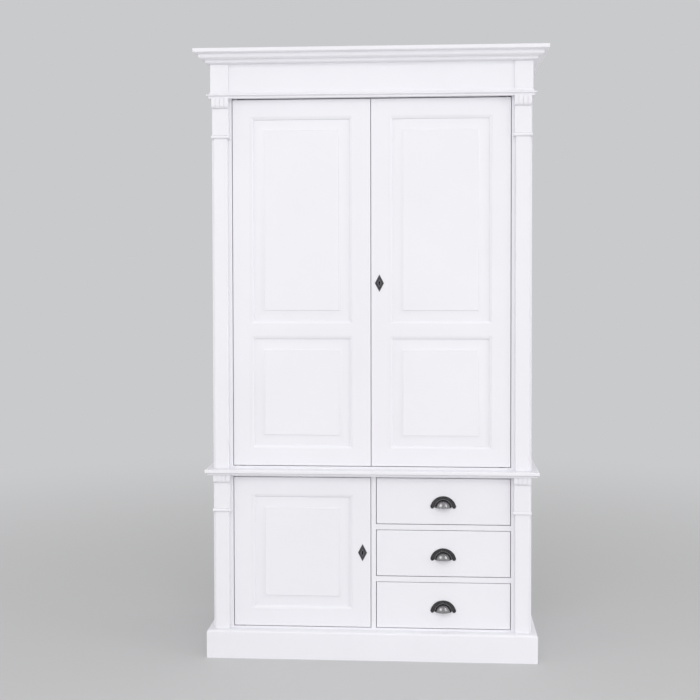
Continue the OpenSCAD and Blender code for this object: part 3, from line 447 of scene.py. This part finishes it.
def screw_shape(bm, radius, height):
    """Pan or flush head with a cross recess."""
    rings = [ring_of(bm, radius, -SINK, SCREW_STEPS)]
    rings += [ring_of(bm, r * radius, z * height, SCREW_STEPS) for r, z in SCREW_PROFILE]
    bm.faces.new(list(reversed(rings[0])))
    for low, high in zip(rings, rings[1:]):
        bridge(bm, low, high)
    brim = cross_loop(bm, BRIM_ARM * radius, BRIM_REACH * radius, height)
    foot = cross_loop(bm, FOOT_ARM * radius, FOOT_REACH * radius,
                      max(height - RECESS_DEPTH * radius, -SINK / 2))
    bmesh.ops.triangle_fill(bm, use_beauty=True,
                            edges=loop_edges(bm, rings[-1]) + loop_edges(bm, brim))
    bridge(bm, brim, foot)
    bm.faces.new(foot)


def pin_shape(bm, radius, height):
    """Low round head of a nail or escutcheon pin."""
    rings = [ring_of(bm, radius, -SINK, PIN_STEPS)]
    for k in range(PIN_RINGS):
        a = math.pi / 2 * k / PIN_RINGS
        rings.append(ring_of(bm, radius * math.cos(a), height * math.sin(a), PIN_STEPS))
    bm.faces.new(list(reversed(rings[0])))
    for low, high in zip(rings, rings[1:]):
        bridge(bm, low, high)
    bm.faces.new(rings[-1])


SLOT_METALS = {"steel": steel, "dark_metal": grey_iron}


def fasteners(name, body, slot, shape, size, spots):
    """One piece of many heads. size is a head's radius and height. spots holds (x, y, z,
    direction out of the surface, turn in degrees), and turns differ so that no two look alike."""
    bm = bmesh.new()
    for x, y, z, way, turn in spots:
        part = bmesh.new()
        shape(part, *size)
        spin = Vector(way).to_track_quat("Z", "Y").to_matrix().to_4x4()
        move = Matrix.Translation(Vector((x, y, z))) @ spin
        part.transform(move @ Matrix.Rotation(math.radians(turn), 4, "Z"))
        bmesh.ops.recalc_face_normals(part, faces=part.faces)
        if part.calc_volume(signed=True) < 0:
            bmesh.ops.reverse_faces(part, faces=part.faces)
        mesh = bpy.data.meshes.new("part")
        part.to_mesh(mesh)
        part.free()
        bm.from_mesh(mesh)
        bpy.data.meshes.remove(mesh)
    bm.transform(Matrix.Scale(MM, 4))
    mesh = bpy.data.meshes.new(name)
    bm.to_mesh(mesh)
    bm.free()
    mesh.materials.append(SLOT_METALS[slot])
    piece = bpy.data.objects.new(name, mesh)
    bpy.context.scene.collection.objects.link(piece)
    shade_well(piece)
    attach(piece, body)


def corners(node):
    """Lowest and highest corner of a CAD node, in mm."""
    return [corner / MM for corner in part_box(node)]


OUT, IN, UP, DOWN, LEFT, RIGHT = ((0, -1, 0), (0, 1, 0), (0, 0, 1), (0, 0, -1), (-1, 0, 0),
                                  (1, 0, 0))
BOTH = (-1, 1)

# Through the drawer fronts into the ears of the pulls
PULL_HEAD, PULL_HOLES, EAR_R = (4.6, 2.6), 64, 6
for i in (1, 2, 3):
    low, high = corners("drawer_%d_pull" % i)
    inner_y = corners("drawer_%d_front" % i)[1].y
    fasteners("drawer_%d_pull_screws" % i, "drawer_%d" % i, "steel", screw_shape, PULL_HEAD,
              [((low.x + high.x) / 2 + side * PULL_HOLES / 2, inner_y, low.z + EAR_R, IN,
                25 + 50 * side + 17 * i) for side in BOTH])

# In the corners of the lock cases
LOCK_HEAD, LOCK_INSET = (3.4, 1.4), 7
for name, body in (("upper_lock", "right_door"), ("lower_lock", "lower_door")):
    low, high = corners(name + "_case")
    fasteners(name + "_screws", body, "steel", screw_shape, LOCK_HEAD,
              [(x, high.y, z, IN, 11 * x + 7 * z) for x in (low.x + LOCK_INSET, high.x - LOCK_INSET)
               for z in (low.z + LOCK_INSET, high.z - LOCK_INSET)])

# Near the upper and lower points of the escutcheons
LOZENGE_PIN, LOZENGE_PIN_INSET, LOZENGE_PLATE = (1.2, 0.5), 7.5, 1.3
for name, body in (("upper_escutcheon", "right_door"), ("lower_escutcheon", "lower_door")):
    low, high = corners(name)
    fasteners(name + "_pins", body, "dark_metal", pin_shape, LOZENGE_PIN,
              [((low.x + high.x) / 2, FRONT_Y - LOZENGE_PLATE, z, OUT, 0)
               for z in (low.z + LOZENGE_PIN_INSET, high.z - LOZENGE_PIN_INSET)])

# At both ends of each pivot plate: the side that it is on, its face, and where that looks
PLATE_HEAD, PLATE_SCREWS_X = (2.6, 0.3), (432, 461.8)
PIVOT_Y = FRONT_Y + 7
SILL_Z, HEAD_Z = 647, corners("upper_face_frame")[1].z
LOWER_SILL_Z, LOWER_HEAD_Z = 101, 611
PLATES = [(side, SILL_Z, UP) for side in BOTH] + [(side, HEAD_Z, DOWN) for side in BOTH]
PLATES += [(-1, LOWER_SILL_Z, UP), (-1, LOWER_HEAD_Z, DOWN)]
fasteners("pivot_plate_screws", "carcass", "steel", screw_shape, PLATE_HEAD,
          [(side * x, PIVOT_Y, z, way, 3 * x) for side, z, way in PLATES for x in PLATE_SCREWS_X])

# Three round the rail in the flange of each socket
SOCKET_HEAD, SOCKET_SCREW_R = (2.7, 1.2), 18.7
ROD_Y, ROD_Z = 33.75, 1637
SOCKET_FACES = ((-512, RIGHT), (-12, LEFT))
fasteners("rail_socket_screws", "carcass", "steel", screw_shape, SOCKET_HEAD,
          [(x, ROD_Y + SOCKET_SCREW_R * math.sin(math.radians(a)),
            ROD_Z + SOCKET_SCREW_R * math.cos(math.radians(a)), way, a)
           for x, way in SOCKET_FACES for a in (0, 120, 240)])

# Above and below the catch's magnet
CATCH_HEAD, CATCH_INSET = (2.6, 0.9), 5
low, high = corners("door_catch")
fasteners("catch_screws", "carcass", "steel", screw_shape, CATCH_HEAD,
          [(low.x, (low.y + high.y) / 2, z, LEFT, z)
           for z in (low.z + CATCH_INSET, high.z - CATCH_INSET)])

# Through the back panels: up each partition, given by its x, lowest and highest z, and along
# the boards of both cabinets
BACK_PIN, BACK_Y = (1.8, 0.7), 306.75
PARTITIONS, PIN_STEP = ((0, 670, 1870), (8, 120, 600)), 103
ROW_HEIGHTS, ROW_REACH, ROW_STEP = (642.5, 1875, 98, 612), 500, 125
pins = [(x, z) for x, lowest, highest in PARTITIONS for z in range(lowest, highest, PIN_STEP)]
pins += [(x, z) for z in ROW_HEIGHTS for x in range(-ROW_REACH, ROW_REACH + 1, ROW_STEP)]
fasteners("back_pins", "carcass", "steel", pin_shape, BACK_PIN,
          [(x, BACK_Y, z, IN, 0) for x, z in pins])


# Floor, backdrop and light

FLOOR_SIZE = 80
FLOOR_GREY = (0.60, 0.60, 0.605)
FLOOR_BOUNCE = (0.64, 0.64, 0.64)
FLOOR_ROUGH, FLOOR_SPECULAR = 0.9, 0.1
FLOOR_FADE = (1.3, 4.5)
BACKDROP = (0.585, 0.59, 0.60)
WELL_LIT, LIT_SPAN = (0.15, -0.85, 0.5), (-0.6, 0.6)
LIGHT_BEHIND, LIGHT_AHEAD = 0.44, 0.87


def make_floor():
    """A pale floor that takes the object's shadow and turns into the backdrop's colour far away.
    Rays that aren't the camera's find it as bright as the walls of a white room."""
    bpy.ops.mesh.primitive_plane_add(size=FLOOR_SIZE, location=(0, 0, 0))
    floor = bpy.context.object
    floor.name = "floor"
    material, tree, shader = new_material("floor")
    seen = tree.nodes.new("ShaderNodeLightPath").outputs["Is Camera Ray"]
    tree.links.new(mixed(tree, seen, FLOOR_BOUNCE, FLOOR_GREY), shader.inputs["Base Color"])
    shader.inputs["Roughness"].default_value = FLOOR_ROUGH
    shader.inputs["Specular IOR Level"].default_value = FLOOR_SPECULAR
    glow = tree.nodes.new("ShaderNodeEmission")
    tree.links.new(mixed(tree, seen, FLOOR_BOUNCE, BACKDROP), glow.inputs["Color"])
    far = remap(tree, vectors(tree, "LENGTH", places(tree)), FLOOR_FADE, (0, 1), smooth=True)
    mix = tree.nodes.new("ShaderNodeMixShader")
    tree.links.new(far, mix.inputs["Fac"])
    tree.links.new(shader.outputs["BSDF"], mix.inputs[1])
    tree.links.new(glow.outputs["Emission"], mix.inputs[2])
    out = next(n for n in tree.nodes if n.type == "OUTPUT_MATERIAL")
    tree.links.new(mix.outputs["Shader"], out.inputs["Surface"])
    floor.data.materials.append(material)
    floor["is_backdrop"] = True


def make_world():
    """Soft studio light, stronger from the front and above than from the back wall. Camera,
    glossy and transmission rays see the backdrop instead."""
    world = bpy.data.worlds.new("world")
    bpy.context.scene.world = world
    world.use_nodes = True
    tree = world.node_tree
    light = tree.nodes["Background"]
    light.inputs["Color"].default_value = (1, 1, 1, 1)
    ray = tree.nodes.new("ShaderNodeTexCoord").outputs["Generated"]
    strength = remap(tree, vectors(tree, "DOT_PRODUCT", ray, WELL_LIT), LIT_SPAN,
                     (LIGHT_BEHIND, LIGHT_AHEAD), smooth=True)
    tree.links.new(strength, light.inputs["Strength"])
    backdrop = tree.nodes.new("ShaderNodeBackground")
    backdrop.inputs["Color"].default_value = (*BACKDROP, 1)
    backdrop.inputs["Strength"].default_value = 1
    path = tree.nodes.new("ShaderNodeLightPath")
    seen = path.outputs["Is Camera Ray"]
    for kind in ("Is Glossy Ray", "Is Transmission Ray"):
        seen = maths(tree, "MAXIMUM", seen, path.outputs[kind])
    mix = tree.nodes.new("ShaderNodeMixShader")
    tree.links.new(seen, mix.inputs["Fac"])
    tree.links.new(light.outputs["Background"], mix.inputs[1])
    tree.links.new(backdrop.outputs["Background"], mix.inputs[2])
    tree.links.new(mix.outputs["Shader"], tree.nodes["World Output"].inputs["Surface"])


# Name, place, point that it faces, width and height, watts
SOFT_LAMPS = (
    ("softbox", (0.1, -7.6, 6.0), (0, 0, 1.0), (6.0, 3.0), 112),
    ("front", (0.1, -5.4, 1.0), (0, 0, 1.2), (5.0, 2.0), 17),
    ("right", (5.5, -3.0, 1.2), (0, 0, 1.2), (2.5, 2.5), 62),
    ("left", (-5.5, -3.0, 1.2), (0, 0, 1.2), (2.5, 2.5), 35),
)
MIRRORED_LAMPS = (
    ("window", (-2.3, -2.9, 3.0), (0.2, -0.2, 0.5), (2.4, 2.2), 34),
    ("strip", (2.9, -2.8, 2.9), (0.2, -0.2, 0.5), (0.7, 2.6), 22),
)


def make_lamp(mirrored, name, where, target, size, watts):
    """A lamp that the camera doesn't see. A mirrored one shows in gloss and lights nothing
    else, and the others light without a mirror image."""
    data = bpy.data.lights.new(name, "AREA")
    data.shape = "RECTANGLE"
    data.size, data.size_y = size
    data.energy = watts
    lamp = bpy.data.objects.new(name, data)
    bpy.context.scene.collection.objects.link(lamp)
    lamp.location = where
    lamp.rotation_euler = (Vector(target) - Vector(where)).to_track_quat("-Z", "Y").to_euler()
    lamp.visible_camera = False
    lamp.visible_diffuse = not mirrored
    lamp.visible_glossy = mirrored


make_floor()
make_world()
for lamp in SOFT_LAMPS:
    make_lamp(False, *lamp)
for lamp in MIRRORED_LAMPS:
    make_lamp(True, *lamp)
bpy.context.scene.view_settings.view_transform = "Standard"

make_camera()

low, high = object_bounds()
